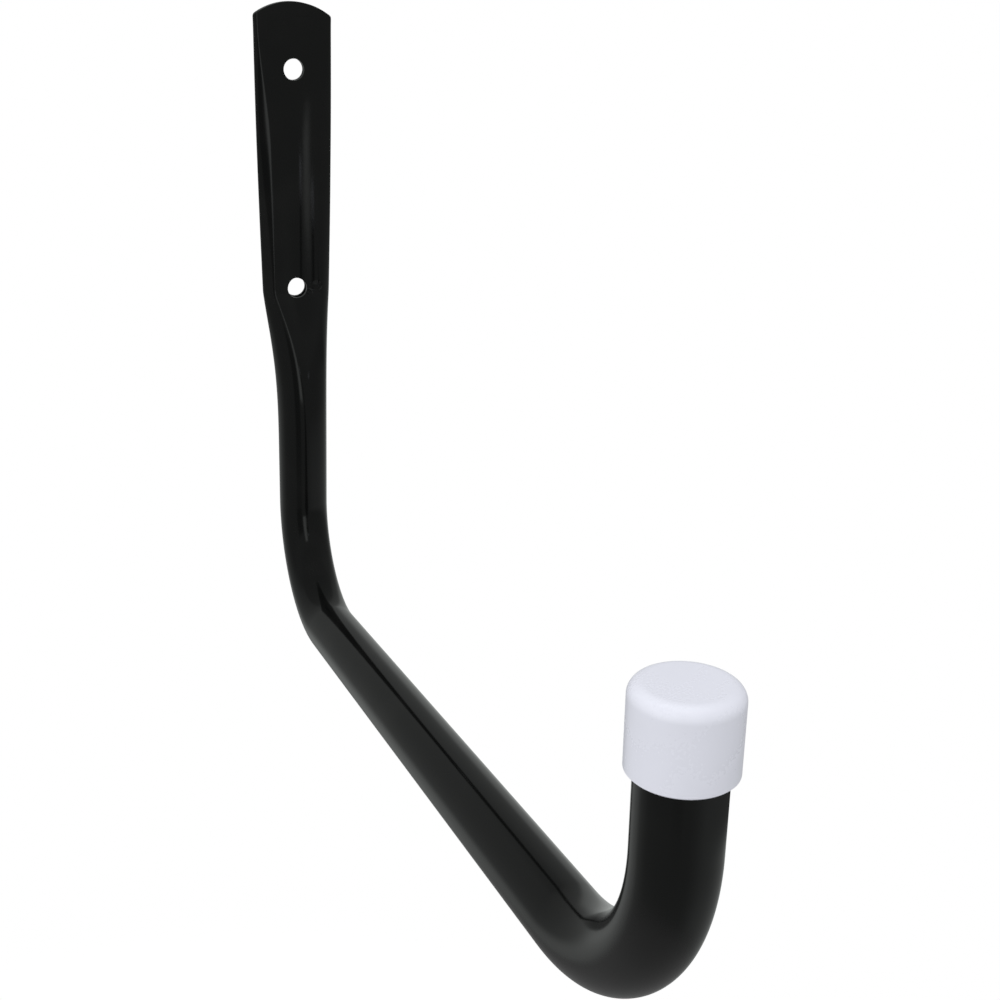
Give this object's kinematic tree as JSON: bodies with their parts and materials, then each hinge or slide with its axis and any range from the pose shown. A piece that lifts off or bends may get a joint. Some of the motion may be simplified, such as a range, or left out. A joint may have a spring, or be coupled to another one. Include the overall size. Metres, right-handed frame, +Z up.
{
  "type": "utility hook",
  "caption": "Wall hook bent from one round steel tube, its upper end pressed flat into a drilled strap, with a long arm, an upturned tip and a moulded cap.",
  "frame": {"origin": "on the wall, midway between the centres of the two screw holes", "axes": "+Y into the wall, +Z up, X across the strap, the arm leaves the wall towards -Y"},
  "size_m": [0.0282, 0.3108, 0.2368],
  "materials": {
    "black_paint": "gloss",
    "white_plastic": "satin"
  },
  "bodies": {
    "root": {"hook_tube": "black_paint", "end_cap": "white_plastic"}
  },
  "joints": []
}
